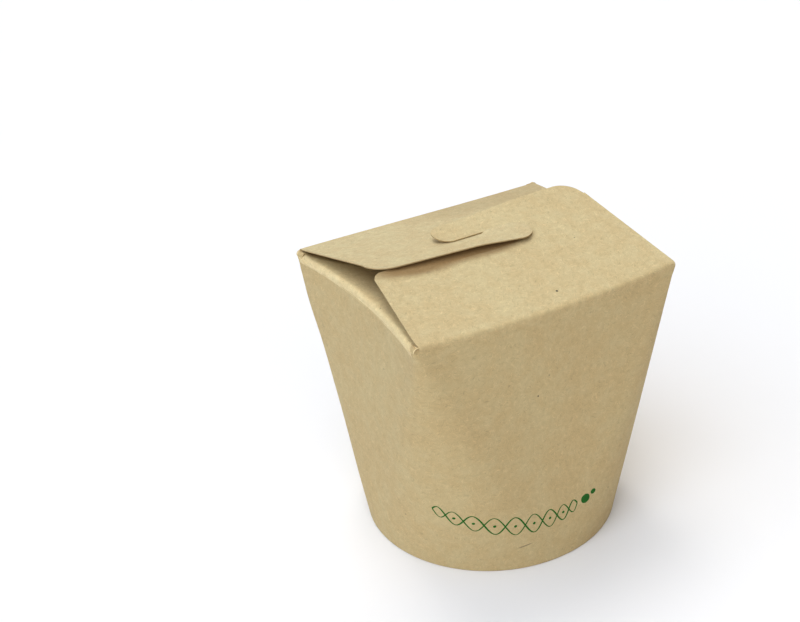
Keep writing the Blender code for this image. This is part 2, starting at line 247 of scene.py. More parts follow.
# %% A material under construction
class Recipe:
    """A material, its node tree and its Principled shader."""

    def __init__(self, name):
        self.material = bpy.data.materials.new(name)
        self.material.use_nodes = True
        self.tree = self.material.node_tree
        self.shader = self.tree.nodes["Principled BSDF"]

    def add(self, kind, settings=None, output=0, numbered=None, **named):
        """Any node: its settings first, then the value or link of each input, by number or by name."""
        node = self.tree.nodes.new("ShaderNode" + kind)
        for key, value in (settings or {}).items():
            setattr(node, key, value)
        for index, value in (numbered or {}).items():
            set_input(node.inputs[index], value)
        for key, value in named.items():
            set_input(node.inputs[key.replace("_", " ")], value)
        return Flow(self.tree, node.outputs[output])

    def blend(self, amount, first, second):
        """Mix two colours by an amount from 0 to 1. A Mix node's colours are its inputs 6 and 7."""
        first, second = [value if isinstance(value, Flow) else (*value, 1.0) for value in (first, second)]
        return self.add("Mix", {"data_type": "RGBA"}, 2, {0: amount, 6: first, 7: second})

    def scale_colour(self, colour, amount):
        """A colour times one number, by Vector Math."""
        return self.add("VectorMath", {"operation": "SCALE"}, 0, {0: colour}, Scale=amount)

    def feed(self, name, value):
        """Link or set one input of the Principled shader."""
        set_input(self.shader.inputs[name], value)


# %% [markdown]
# ## The kraft board
#
# Kraft board is unbleached pulp: a warm tan sheet with soft clouds where the pulp lay thicker, a fine
# mottle, short light and dark fibres in all directions, and here and there a dark fleck of bark. An even
# noise would look like sandpaper. A fibre is longer than it is wide, so each fibre layer is a noise
# pattern on coordinates that are turned and then squeezed along one axis.
#
# The coordinates are the sheet's own, in millimetres along the board, so that the fibres don't stretch
# round the folds.

# %% Clouds and fibres on the sheet
MM_PER_METRE = 1000.0
FLAT_NOISE = {"noise_dimensions": "2D"}
CLOUD_ROUGHNESS = 0.55
FIBRE_BEND_MM = 2.2
FIBRE_BENDS_PER_MM = 0.35
FIBRE_SOFTNESS = 0.16
FIBRE_SHIFT = (1.3, 0.6)


def sheet_place(recipe):
    """The place on the flat board, in millimetres."""
    uv = recipe.add("UVMap", {"uv_map": "sheet"})
    return recipe.add("Mapping", Vector=uv, Scale=(MM_PER_METRE,) * 3)


def cloud(recipe, place, size_mm, shift, detail=2.0):
    """Soft noise whose patches are about size_mm across, from 0 to 1."""
    moved = recipe.add("Mapping", Vector=place, Location=(shift, shift * 0.7, 0.0))
    values = {"Scale": 1.0 / size_mm, "Detail": detail, "Roughness": CLOUD_ROUGHNESS}
    return recipe.add("TexNoise", FLAT_NOISE, Vector=moved, **values)


def own_place(recipe, place, centre, size, turn_deg):
    """The place seen from a centre, turned back and divided by a size: a Mapping node of type TEXTURE."""
    turn = (0.0, 0.0, math.radians(turn_deg))
    values = {"Location": (*centre, 0.0), "Rotation": turn, "Scale": (*size, 1.0)}
    return recipe.add("Mapping", {"vector_type": "TEXTURE"}, Vector=place, **values)


def fibre_layer(recipe, place, turn_deg, length_mm, width_mm, share):
    """Short streaks in one direction: noise squeezed across them, kept where it is over a threshold."""
    bend = recipe.add("TexNoise", FLAT_NOISE, 1, Vector=place, Scale=FIBRE_BENDS_PER_MM, Detail=1.0)
    reach = (FIBRE_BEND_MM, FIBRE_BEND_MM, 0.0)
    wavy = recipe.add("VectorMath", {"operation": "MULTIPLY_ADD"}, 0, {0: bend, 1: reach, 2: place})
    centre = (turn_deg * FIBRE_SHIFT[0], turn_deg * FIBRE_SHIFT[1])
    turned = own_place(recipe, wavy, centre, (length_mm, width_mm), turn_deg)
    streak = recipe.add("TexNoise", FLAT_NOISE, Vector=turned, Scale=1.0, Detail=1.0, Roughness=0.4)
    return streak.above(1.0 - share, 1.0 - share + FIBRE_SOFTNESS)


# %% Flecks and single marks on the sheet
CELLS = {"voronoi_dimensions": "2D", "feature": "F1"}
SPOT_CORE = 0.35


def flecks(recipe, place, cell_mm, radius_mm, share):
    """Round flecks: a few of the cells of a Voronoi pattern hold a small spot at their middle."""
    distance = recipe.add("TexVoronoi", CELLS, Vector=place, Scale=1.0 / cell_mm)
    choice = recipe.add("TexVoronoi", CELLS, 1, Vector=place, Scale=1.0 / cell_mm)
    picked = recipe.add("SeparateColor", Color=choice).above(1.0 - share, 1.01 - share)
    edge = radius_mm / cell_mm
    return picked * (1.0 - distance.above(edge * 0.5, edge))


def spot(recipe, place, centre_mm, half_mm, turn_deg, strength):
    """One soft oval mark at a known place on the sheet: strength at its middle, 0 outside its half sizes."""
    own = own_place(recipe, place, centre_mm, half_mm, turn_deg)
    distance = recipe.add("VectorMath", {"operation": "LENGTH"}, "Value", {0: own})
    return (1.0 - distance.above(SPOT_CORE, 1.0)) * strength


# %% What the board is mixed from
CLOUDS = {"broad": (26.0, 3.1), "patch": (6.0, 11.7), "mottle": (1.9, 5.3, 3.0), "grain": (0.34, 8.9)}
CLOUD_SHADE = {"broad": 0.10, "patch": 0.12, "mottle": 0.17, "grain": 0.13}
CLOUD_TINT = {"broad": 0.35, "patch": 0.40, "mottle": 0.25}
TINT_SPAN = (0.34, 0.66)
LIGHT_FIBRES = ((108.0, 2.0, 0.20, 0.36),) + tuple((turn, 3.6, 0.24, 0.37) for turn in (18.0, 77.0, 141.0))
DARK_FIBRES = ((95.0, 1.6, 0.20, 0.35),) + tuple((turn, 2.8, 0.24, 0.36) for turn in (47.0, 165.0))
LIGHT_SHADE = 0.100
DARK_SHADE = 0.120
SCUFF_CLOUD = (2.2, 17.0, 3.0)
SCUFF_SPAN = (0.35, 0.75)
SCUFF_SHADE = 0.05
SMALL_BARK = (5.5, 0.22, 0.26)
SMALL_BARK_SHADE = 0.22
LARGE_BARK = (31.0, 0.40, 0.20)
LARGE_BARK_SHADE = 0.5
ROUGHNESS = 0.84
MOTTLE_ROUGHNESS = 0.12
LIGHT_FIBRE_GLOSS = 0.04
CLOUD_RELIEF = {"grain": 0.5, "mottle": 0.6}
LIGHT_RELIEF = 0.35
DARK_RELIEF = 0.25
SCUFF_RELIEF = 0.4
BUMP_STRENGTH = 0.55
BUMP_DEPTH = 0.00005
# The colour of painted shadow: marks blend the board towards it where a shadow falls.
PAINTED_SHADE_BROWN = (0.275, 0.165, 0.060)
FOLD_SPAN_MM = (99.6, 103.6)
print(len(CLOUDS), "clouds,", len(LIGHT_FIBRES) + len(DARK_FIBRES), "layers of fibres")


# %% The board's material
def kraft_board(name, tones, marks=(), painted_shade=(), contrast=1.0, below_fold=None):
    """Uncoated kraft. tones are the two colours of its clouds, a warmer and a cooler one.

    A mark is (place on the sheet, half sizes, turn in degrees, strength), with all lengths in mm. The
    marks of the fourth argument are painted shadow: they blend the board towards a dark brown where a
    shadow falls on it. below_fold is the pair of plain tones under the fold, below the flap's own tones.
    """
    recipe = Recipe(name)
    place = sheet_place(recipe)
    clouds = {layer: cloud(recipe, place, *sizes) for layer, sizes in CLOUDS.items()}
    light = sum(fibre_layer(recipe, place, *layer) for layer in LIGHT_FIBRES)
    dark = sum(fibre_layer(recipe, place, *layer) for layer in DARK_FIBRES)
    fold = recipe.add("Attribute", {"attribute_name": "fold"}, 2)
    scuff = fold * cloud(recipe, place, *SCUFF_CLOUD).above(*SCUFF_SPAN)

    tint = sum(clouds[layer] * weight for layer, weight in CLOUD_TINT.items()).above(*TINT_SPAN)
    colour = recipe.blend(tint, *tones)
    if below_fold:
        past_fold = recipe.add("SeparateXYZ", None, 1, Vector=place).above(*FOLD_SPAN_MM)
        colour = recipe.blend(past_fold, recipe.blend(tint, *below_fold), colour)
    # Painted shadow: inside these marks the board blends towards a dark brown.
    if painted_shade:
        colour = recipe.blend(sum(spot(recipe, place, *mark) for mark in painted_shade), colour, PAINTED_SHADE_BROWN)

    shade = sum((clouds[layer] - 0.5) * weight for layer, weight in CLOUD_SHADE.items())
    shade = shade + light * LIGHT_SHADE - dark * DARK_SHADE + scuff * SCUFF_SHADE
    bark = flecks(recipe, place, *SMALL_BARK) * SMALL_BARK_SHADE
    bark = bark + flecks(recipe, place, *LARGE_BARK) * LARGE_BARK_SHADE
    bark = bark + sum(spot(recipe, place, *mark) for mark in marks)
    tone = (1.0 + shade * contrast) * (1.0 - bark.above(0.0, 1.0))
    recipe.feed("Base Color", recipe.scale_colour(colour, tone))
    roughness = ROUGHNESS + (clouds["mottle"] - 0.5) * MOTTLE_ROUGHNESS
    recipe.feed("Roughness", roughness - light * LIGHT_FIBRE_GLOSS)
    relief = sum(clouds[layer] * weight for layer, weight in CLOUD_RELIEF.items())
    relief = relief + light * LIGHT_RELIEF - dark * DARK_RELIEF + scuff * SCUFF_RELIEF
    bump = recipe.add("Bump", Height=relief, Strength=BUMP_STRENGTH, Distance=BUMP_DEPTH)
    recipe.feed("Normal", bump)
    return recipe.material


# %% [markdown]
# The pieces come from the same board and each has a few marks of its own, but their tones hold painted
# light and shade: the flaps are paler than the walls, a painted sheen from the light above, the side flaps
# paler still, painted light in their shaded hollow, and the cut edges darker, painted shade. Where one
# board lies close over another, a dark brown is painted on the lower one, a painted shadow that deepens
# the narrow shadow there.

# %% The tones, marks and painted light and shade of each piece
WALL_TONES = ((0.562, 0.412, 0.192), (0.532, 0.415, 0.206))
# The flaps' tones are paler than the walls' tones of the same board: a painted sheen from the light above.
FRONT_SHEEN_TONES = ((0.618, 0.476, 0.242), (0.588, 0.482, 0.258))
BACK_SHEEN_TONES = ((0.616, 0.484, 0.256), (0.584, 0.491, 0.274))
# The side flaps' tones are paler still: painted light on their folds and in their shaded hollow.
SIDE_PAINTED_LIGHT_TONES = ((0.735, 0.570, 0.295), (0.705, 0.575, 0.310))
# The cut edges are darker than the board: painted shade for edges that lie in shadow.
EDGE_SHADE_TONES = ((0.50, 0.36, 0.17), (0.42, 0.30, 0.14))
WALL_MARKS = (((-8.2, 70.0), (0.5, 0.5), 0.0, 0.8), ((-15.4, 10.5), (4.8, 0.42), 8.0, 0.52))
FRONT_MARKS = (((6.0, 108.5), (0.60, 0.60), 0.0, 0.95),)
# Painted shadow on the front flap: a brown band just in front of the back flap's near edge.
FRONT_PAINTED_SHADE = (
    ((-30.0, 139.6), (22.0, 6.6), -7.0, 0.92),
    ((-3.0, 138.0), (21.0, 4.4), -1.0, 0.70),
    ((-10.0, 139.8), (30.0, 2.8), -3.0, 0.95),
)
# Painted shade on the back flap: a darker patch on the right, behind the front flap's raised far edge.
BACK_PAINTED_SHADE = (((330.0, 104.0), (46.0, 24.0), 0.0, 0.27),)
# Painted shadow on the side flaps: their hollow under the roof, deepest under the back flap's left edge.
SIDE_PAINTED_SHADE = (
    ((150.0, 119.0), (58.0, 20.0), 0.0, 0.52),
    ((-150.0, 119.0), (58.0, 20.0), 0.0, 0.52),
    ((-114.0, 107.0), (15.0, 4.5), -25.0, 0.80),
)
LOW_CONTRAST = 1.3
HIGH_CONTRAST = 1.45
board_walls = kraft_board("kraft_walls", WALL_TONES, WALL_MARKS, (), LOW_CONTRAST)
board_front = kraft_board(
    "kraft_front_flap", FRONT_SHEEN_TONES, FRONT_MARKS, FRONT_PAINTED_SHADE, HIGH_CONTRAST, WALL_TONES
)
board_back = kraft_board("kraft_back_flap", BACK_SHEEN_TONES, (), BACK_PAINTED_SHADE, HIGH_CONTRAST, WALL_TONES)
board_side = kraft_board("kraft_side_flap", SIDE_PAINTED_LIGHT_TONES, (), SIDE_PAINTED_SHADE, LOW_CONTRAST)
board_base = kraft_board("kraft_base", WALL_TONES)
board_edge = kraft_board("kraft_cut_edge", EDGE_SHADE_TONES)
print("materials:", [material.name for material in bpy.data.materials])


# %% A whole piece of board
def board_piece(name, blocks, board, flat=True):
    """The sheet of these blocks, faces outwards, with its board, its cut edge and its thickness."""
    piece = sheet_from_blocks(name, blocks)
    turn_faces(piece, flat)
    piece.data.materials.append(board)
    piece.data.materials.append(board_edge)
    give_thickness(piece)
    return piece


# %% [markdown]
# ## The walls
#
# On the real box the blank is rolled into a cone-like wall: the foot is round because the base disc
# holds it, and the top is a rectangle because the folds hold it. Straight lines run from the one to the
# other. So the section at a height is a rectangle with round corners, whose flats grow from nothing and
# whose corner radius shrinks from the foot's radius. A loft tool could join two outlines, but it would
# guess the lines between them. The formula gives the true developable wall.
#
# The front wall bulges a little with what is inside, and the side walls are drawn in at the fold.

# %% The wall as a function of direction and height
def wall_section(height):
    """Half-sizes of the inner rectangle and the corner radius at a height."""
    part = height / WALL_HEIGHT
    across = part * (TOP_WIDTH / 2.0 - TOP_CORNER)
    deep = part * (HALF_DEPTH - TOP_CORNER)
    return across, deep, (1.0 - part) * BASE_RADIUS + part * TOP_CORNER


def wall_plan(angle, height):
    """The wall's outside in plan, in a direction from the middle.

    A ray meets a flat side at (half side) / cosine. It meets a round corner where
    (reach * cosine - across)^2 + (reach * sine - deep)^2 = radius^2.
    """
    across, deep, radius = wall_section(height)
    cosine = np.maximum(np.abs(np.cos(angle)), 1e-9)
    sine = np.maximum(np.abs(np.sin(angle)), 1e-9)
    along = cosine * across + sine * deep
    under_root = np.maximum(along**2 - across**2 - deep**2 + radius**2, 0.0)
    corner = along + np.sqrt(under_root)
    on_side = sine * (across + radius) <= deep * cosine
    on_front = cosine * (deep + radius) <= across * sine
    reach = np.where(on_side, (across + radius) / cosine, np.where(on_front, (deep + radius) / sine, corner))
    x = reach * np.cos(angle)
    y = reach * np.sin(angle)
    part = height / WALL_HEIGHT
    bulge = np.where(y < 0.0, FRONT_BULGE * part**2 * (1.0 - (x / (across + radius)) ** 2), 0.0)
    pinch = SIDE_PINCH * part**3 * (1.0 - (y / (deep + radius)) ** 2)
    return x - np.sign(x) * pinch, y - bulge


# %% The wall after handling
WAVE_DEPTH = 0.00012
WAVES = ((1.0, 3.0, 61.0, 0.6), (0.7, 7.0, -88.0, 2.1))
WAVE_START = (0.004, 0.020)
WAVE_END = (SCORE - 0.010, SCORE - 0.001)
HELD_FROM = (SCORE - 0.003, SCORE - 0.0005)
SWELLING_DEPTH = 0.0009
SWELLING_ANGLE = (math.radians(146.0), math.radians(9.0))
SWELLING_HEIGHT = (0.084, 0.0115)
CREASE_DEPTH = 0.00050
CREASE_ANGLE = math.radians(163.6)
CREASE_WIDTH = math.radians(1.6)
CREASE_START = (0.086, 0.094)


def wall_surface(angle, height):
    """The wall as it is after handling: slow waves, one swelling below the back left corner, one crease.

    Each wave is strength * sin(turns * angle + rate * height + shift). All of it fades out at the foot
    and at the score, where the disc and the folds hold the board.
    """
    x, y = wall_plan(angle, height)
    free = smooth_rise(height, *WAVE_START) * (1.0 - smooth_rise(height, *WAVE_END))
    waves = sum(
        strength * np.sin(turns * angle + rate * height + shift) for strength, turns, rate, shift in WAVES
    )
    swelling = bell(angle, *SWELLING_ANGLE) * bell(height, *SWELLING_HEIGHT)
    crease = np.exp(-np.abs(angle - CREASE_ANGLE) / CREASE_WIDTH) * smooth_rise(height, *CREASE_START)
    held = 1.0 - smooth_rise(height, *HELD_FROM)
    out = free * WAVE_DEPTH * waves + held * (SWELLING_DEPTH * swelling - CREASE_DEPTH * crease)
    grow = 1.0 + out / np.hypot(x, y)
    return x * grow, y * grow


# %% Where the wall's columns stand
TOP_CORNERS = [math.atan2(y, x) for y in (-TOP_DEPTH, TOP_DEPTH) for x in (-TOP_WIDTH, TOP_WIDTH)]
COLUMN_GATHER = 5.0
COLUMN_SPREAD = math.radians(4.0)
FINE_STEPS = 8001


def column_angles(count):
    """Directions of the wall's columns, closer together at the four top corners.

    Each direction gets a weight of 1 plus a bell curve round every corner, and the columns are spaced
    evenly along the running sum of the weights.
    """
    fine = np.linspace(-math.pi, math.pi, FINE_STEPS)
    weight = 1.0 + COLUMN_GATHER * sum(bell(fine, corner, COLUMN_SPREAD) for corner in TOP_CORNERS)
    running = np.concatenate([[0.0], np.cumsum((weight[1:] + weight[:-1]) / 2.0)])
    return np.interp(np.linspace(0.0, running[-1], count), running, fine)


print("top corners in directions", np.degrees(TOP_CORNERS).round(1))

# %% [markdown]
# The foot isn't a plain cut edge. The wall's lower edge is rolled under and up again inside, round the
# base disc's flange, which gives a soft round rim and a skirt inside it. The profile below carries on
# from the wall: down the outside, round a half circle, and up the inside of the foot.

# %% Blocks on the wall, and the corner tops
WALL_TOP = SCORE + 0.0001
MEAN_RADIUS = 0.0530
CORNER_TOP = 0.1014
CORNER_LOW = SCORE - 0.0012
CORNER_HALF_ANGLE = math.radians(2.2)
CORNER_INSET = 0.00003
CORNER_LEAN = 0.0011
CORNER_LEAN_SPAN = (0.0994, 0.1018)
CORNER_GRID = (16, 25)


def wall_block(angles, x, y, z, v, fold=0.0):
    """A block on the wall. Its place across the sheet is the angle from the front times a mean radius."""
    return block_of(x, y, z, (angles + math.pi / 2.0) * MEAN_RADIUS, v, fold)


def corner_top(middle):
    """The wall's corner goes on up between two flaps, a narrow strip that leans in at its top."""
    rows, columns = CORNER_GRID
    across = middle + np.linspace(-1.0, 1.0, columns) * CORNER_HALF_ANGLE
    angles, z = np.meshgrid(across, np.linspace(CORNER_TOP, CORNER_LOW, rows))
    x, y = wall_surface(angles, np.minimum(z, WALL_HEIGHT))
    lean = CORNER_LEAN * smooth_rise(z, *CORNER_LEAN_SPAN)
    shrink = 1.0 - (CORNER_INSET + lean) / np.hypot(x, y)
    return wall_block(angles, x * shrink, y * shrink, z, z, 1.0)


# %% The walls, from the score down to the rolled foot
RIM = 0.00135
RIM_ROUND = RIM / 2.0
RIM_STEPS = 12
SKIRT_TOP = 0.0050
SKIRT_STEPS = 5
WALL_COLUMNS = 361
WALL_ROWS = 64
SCUFFED_TOP = (WALL_TOP - 0.003, WALL_TOP + 0.003)


def make_walls():
    """Rows of (height, distance inwards from the wall's outside), carried round all directions."""
    heights = np.linspace(WALL_TOP, RIM_ROUND, WALL_ROWS)
    turn = np.linspace(0.0, math.pi, RIM_STEPS + 1)[1:]
    skirt = np.linspace(RIM_ROUND, SKIRT_TOP, SKIRT_STEPS + 1)[1:]
    z = np.concatenate([heights, RIM_ROUND - RIM_ROUND * np.sin(turn), skirt])
    rim_inward = RIM_ROUND - RIM_ROUND * np.cos(turn)
    inward = np.concatenate([np.zeros(WALL_ROWS), rim_inward, np.full(SKIRT_STEPS, RIM)])
    angles, z_grid = np.meshgrid(column_angles(WALL_COLUMNS), z)
    x, y = wall_surface(angles, np.maximum(z_grid, RIM_ROUND))
    shrink = 1.0 - inward[:, None] / np.hypot(x, y)
    run = np.concatenate([[0.0], np.cumsum(np.hypot(np.diff(z), np.diff(inward)))])
    fold = smooth_rise(z, *SCUFFED_TOP)[:, None]
    wall = wall_block(angles, x * shrink, y * shrink, z_grid, WALL_TOP - run[:, None], fold)
    corners = [corner_top(middle) for middle in TOP_CORNERS]
    return board_piece("walls", [wall] + corners, board_walls, flat=False)


walls = make_walls()
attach(walls, "root")
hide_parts("body")
report(walls)

# %% [markdown]
# ## The green print
#
# Food boxes carry a line of thin print low on the front. Here it is a plain ornament, two strands that
# wave round each other like noodles, with a dot in each loop and two larger dots at its end. On the
# real box it is ink in the board. A thin ribbon, three hundredths of a millimetre proud of the wall,
# keeps a clean edge at every distance and needs no picture.
#
# The strands are first drawn on the flat board, then bent round the wall by the wall's own formula.

# %% Ink in the board
INK_DARK = (0.008, 0.110, 0.007)
INK_THIN = (0.022, 0.165, 0.014)
INK_CLOUD = (0.9, 4.0, 3.0)
INK_FIBRES = ((30.0, 1.6, 0.16, 0.40), (118.0, 1.6, 0.16, 0.40))
INK_PATCH_FROM = 0.45
INK_PATCH_THIN = 0.7
INK_FIBRE_THIN = 0.22
INK_THIN_SPAN = (0.0, 0.6)
INK_ROUGHNESS = 0.70
INK_PATCH_ROUGHNESS = 0.16
INK_SHEEN = 0.25
INK_PATCH_RELIEF = 0.5
INK_FIBRE_RELIEF = 0.4
INK_BUMP = {"Strength": 0.4, "Distance": 0.00003}


def green_ink():
    """Dark green, thinner where a fibre of the board shows through."""
    recipe = Recipe("green_print")
    place = sheet_place(recipe)
    patchy = cloud(recipe, place, *INK_CLOUD)
    fibre = sum(fibre_layer(recipe, place, *layer) for layer in INK_FIBRES)
    thin = (patchy - INK_PATCH_FROM) * INK_PATCH_THIN + fibre * INK_FIBRE_THIN
    recipe.feed("Base Color", recipe.blend(thin.above(*INK_THIN_SPAN), INK_DARK, INK_THIN))
    recipe.feed("Roughness", INK_ROUGHNESS + patchy * INK_PATCH_ROUGHNESS)
    recipe.feed("Specular IOR Level", INK_SHEEN)
    relief = patchy * INK_PATCH_RELIEF + fibre * INK_FIBRE_RELIEF
    recipe.feed("Normal", recipe.add("Bump", Height=relief, **INK_BUMP))
    return recipe.material


ink = green_ink()
print("ink:", ink.name)

# %% The path that the print follows
PRINT_PATH_DEG = np.array([-143.0, -137.0, -127.0, -116.0, -105.0, -95.0, -86.0, -79.5])
PRINT_PATH_Z = np.array([0.0300, 0.0272, 0.0240, 0.0216, 0.0196, 0.0186, 0.0192, 0.0205])
INK_PROUD = 0.00003
INK_SUNK = 0.00002


def path_place(share):
    """The path's middle at a share of its length: a smooth curve through the named places."""
    at = np.linspace(0.0, 1.0, len(PRINT_PATH_DEG))
    angle = np.polynomial.Polynomial.fit(at, np.radians(PRINT_PATH_DEG), 3)(share)
    height = np.polynomial.Polynomial.fit(at, PRINT_PATH_Z, 4)(share)
    return angle, height


def ink_block(angles, heights, side):
    """A block of ribbon on the wall, proud in its middle, where side is 0, and sunk at its rim, at 1."""
    x, y = wall_surface(angles, heights)
    grow = 1.0 + (INK_PROUD - (INK_PROUD + INK_SUNK) * side**4) / np.hypot(x, y)
    return wall_block(angles, x * grow, y * grow, heights, heights)


# %% Strands and dots
PRINT_WAVES = 4.5
PRINT_SWING = 0.0038
STROKE = 0.00074
THIN_STROKE = 0.8
STROKE_END = 0.004
STROKE_TIP = 0.02
SWING_AT_ENDS = 0.35
THIN_AT_TURNS = 0.62
LOOP_DOT = 0.00062
END_DOTS = ((-75.4, 0.0208, 0.0021), (-71.2, 0.0224, 0.0012))
STRAND_GRID = (7, 700)
DOT_GRID = (7, 33)


def strand_block(phase, thickness):
    """One strand: height = path + swing * sin(waves * 2 pi * share + phase), as a strip across its width."""
    rows, steps = STRAND_GRID
    share = np.linspace(0.0, 1.0, steps)
    wave = 2.0 * math.pi * PRINT_WAVES * share + phase
    angle, height = path_place(share)
    swing = SWING_AT_ENDS + (1.0 - SWING_AT_ENDS) * np.sin(math.pi * share) ** 0.5
    height = height + PRINT_SWING * swing * np.sin(wave)
    along = np.gradient(angle) * BASE_RADIUS
    up = np.gradient(height)
    length = np.hypot(along, up)
    across = np.linspace(-1.0, 1.0, rows)[:, None]
    pressure = THIN_AT_TURNS + (1.0 - THIN_AT_TURNS) * np.abs(np.cos(wave))
    ends = np.sqrt(np.clip(np.minimum(share, 1.0 - share) / STROKE_END, STROKE_TIP, 1.0))
    half = thickness / 2.0 * pressure * ends
    angles = angle - across * half * up / length / BASE_RADIUS
    return ink_block(angles, height + across * half * along / length, across)


def dot_block(angle, height, radius):
    """A round dot from its pole outwards."""
    rows, steps = DOT_GRID
    turn, reach = np.meshgrid(np.linspace(0.0, 2.0 * math.pi, steps), np.linspace(0.0, 1.0, rows))
    angles = angle + radius * reach * np.cos(turn) / BASE_RADIUS
    return ink_block(angles, height + radius * reach * np.sin(turn), reach)


def make_print():
    """Two strands half a wave apart, a dot in each loop, and two dots after the end."""
    blocks = [strand_block(0.0, STROKE), strand_block(math.pi, STROKE * THIN_STROKE)]
    loops = (np.arange(int(2 * PRINT_WAVES)) + 0.5) / (2.0 * PRINT_WAVES)
    blocks += [dot_block(*path_place(share), LOOP_DOT) for share in loops[1:-1]]
    blocks += [dot_block(math.radians(angle_deg), height, radius) for angle_deg, height, radius in END_DOTS]
    piece = sheet_from_blocks("print_board", blocks)
    turn_faces(piece, flat=False)
    piece.data.materials.append(ink)
    piece.data.shade_smooth()
    return piece


green_print = make_print()
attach(green_print, "root")
report(green_print)

# %% [markdown]
# ## The base disc
#
# The base is a separate round of board. Its edge is turned down into a flange that the rolled foot
# grips, so from below it shows as a flat disc set a few millimetres up.

# %% A disc with a turned-down flange
DISC_HEIGHT = 0.0062
DISC_RINGS = 26
DISC_COLUMNS = 193
FLANGE_LOW = 0.0016
FLANGE_GAP = 0.00047
FLANGE_ROUND = 0.0009
FLANGE_STEPS = 4
FLANGE_ROUND_STEPS = 6


def make_base_disc():
    """A profile from the pole out along the flat, round a quarter circle and down, carried round."""
    turn = np.linspace(0.0, math.pi / 2.0, FLANGE_ROUND_STEPS + 1)[1:]
    down = np.linspace(DISC_HEIGHT - FLANGE_ROUND, FLANGE_LOW, FLANGE_STEPS + 1)[1:]
    round_z = DISC_HEIGHT - FLANGE_ROUND * (1.0 - np.cos(turn))
    z = np.concatenate([np.full(DISC_RINGS, DISC_HEIGHT), round_z, down])
    round_short = FLANGE_ROUND * (1.0 - np.sin(turn))
    short = np.concatenate([np.full(DISC_RINGS, FLANGE_ROUND), round_short, np.zeros(FLANGE_STEPS)])
    share = np.concatenate([np.linspace(0.0, 1.0, DISC_RINGS), np.ones(len(turn) + len(down))])
    angles, z_grid = np.meshgrid(np.linspace(-math.pi, math.pi, DISC_COLUMNS), z)
    x, y = wall_plan(angles, z_grid)
    edge = np.hypot(x, y)
    reach = (edge - BOARD - FLANGE_GAP - short[:, None]) * share[:, None]
    x = x / edge * reach
    y = y / edge * reach
    return board_piece("base_disc_board", [block_of(x, y, z_grid, x, y)], board_base)


base_disc = make_base_disc()
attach(base_disc, "root")
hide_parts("base_disc")
report(base_disc)

# %% [markdown]
# ## How the roof locks
#
# The front and the back flap each have a slit cut in from one side to the middle, the front one from the
# left and the back one from the right. Pushed together, each flap's round tongue ends up on top of the
# other flap. The front flap stays flat. The back flap passes under the front tongue on the left, comes
# up through the notch in front of it, and lies over the front flap on the right.
#
# Each height below is a function of x and y, so that any point drawn in plan can be put on its flap.

# %% Heights of the front and the back flap
SLIT_END_LEFT = 0.0002
SLIT_END_RIGHT = 0.0030
SLIT_OPENING = 0.0030
TONGUE_BEND = 0.0015
TONGUE_BEND_REACH = 0.012
TONGUE_BEND_END = (-0.005, 0.025)
NOTCH_Y = -0.0044
NEAR_RISE_LEFT = 0.345
NEAR_RISE_RIGHT = 0.12
TONGUE_RADIUS = 0.0056
BACK_LEFT_LIFT = 0.0008
BACK_LIFT_SPAN = (-0.050, 0.035)


def front_plane(y):
    """The front flap's slope, from its fold up past the ridge."""
    return FRONT_FOLD + ROOF_SLOPE * (y + HALF_DEPTH)


def front_height(x, y):
    """The front plane, with the tongue bent down by the square of its distance past the slit."""
    beyond = np.maximum(0.0, y) / TONGUE_BEND_REACH
    left = 1.0 - smooth_rise(x, *TONGUE_BEND_END)
    return front_plane(y) - TONGUE_BEND * left * beyond**2


def back_height(x, y):
    """Behind the slit an even slope; in front of it the front plane plus a step and a rise.

    The step goes from one lift below to one lift above over the slit's end, and it widens forwards.
    """
    ridge = front_plane(0.0) - LIFT
    low = BACK_FOLD + BACK_LEFT_LIFT * (1.0 - smooth_rise(x, *BACK_LIFT_SPAN))
    behind = low + (ridge - low) * (HALF_DEPTH - y) / HALF_DEPTH
    ahead = np.maximum(0.0, -y)
    right = smooth_rise(x, SLIT_END_LEFT - ahead, SLIT_END_RIGHT + ahead)
    rise = NEAR_RISE_LEFT + (NEAR_RISE_RIGHT - NEAR_RISE_LEFT) * right
    before = front_plane(y) + LIFT * (2.0 * right - 1.0) + rise * ahead
    return np.where(y > 0.0, behind, before)


print("ridge height", round(front_plane(0.0) * 1000.0, 1), "mm")

# %% [markdown]
# ## Rows that bend over a fold
#
# A fold in board isn't a sharp line: the outside takes a small radius. Each flap starts on the upright
# wall at the score, follows a small arc, and leaves it along its slope. The arc touches both, so the
# light runs over it without a break.

# %% Fold rows and flap blocks
LIP_LOW = SCORE - 0.0003
LIP_ROWS = 13
LIP_WIDENS = (0.72, 1.0)
OUTSIDE = 0.00002
FOLD_STEPS = 9
FOLD_MASK_WIDTH = 0.0022


def fold_rows(radius, slope):
    """(inward, rise) from the sharp fold line, along an arc that touches the wall and the slope."""
    turn = math.pi / 2.0 - math.atan(slope)
    angle = np.linspace(0.0, turn, FOLD_STEPS)
    return radius - radius * np.cos(angle), radius * np.sin(angle) - radius * math.tan(turn / 2.0)


def back_edge(x, height):
    """How far the back wall stands from the middle plane, at a place across and a height."""
    across, deep, radius = wall_section(height)
    return deep + round_end(np.abs(x) - across, radius)


def front_edge(x, height):
    """How far the front wall stands from the middle plane: as the back wall, plus its bulge."""
    across, _, radius = wall_section(height)
    from_middle = np.minimum(1.0, np.abs(x) / (across + radius))
    return back_edge(x, height) + FRONT_BULGE * (height / WALL_HEIGHT) ** 2 * (1.0 - from_middle**2)


def side_edge(y, height):
    """How far a side wall stands from the middle plane, drawn in between its ends."""
    across, deep, radius = wall_section(height)
    from_middle = np.minimum(1.0, np.abs(y) / (deep + radius))
    pinch = SIDE_PINCH * (height / WALL_HEIGHT) ** 3 * (1.0 - from_middle**2)
    return across + round_end(np.abs(y) - deep, radius) - pinch


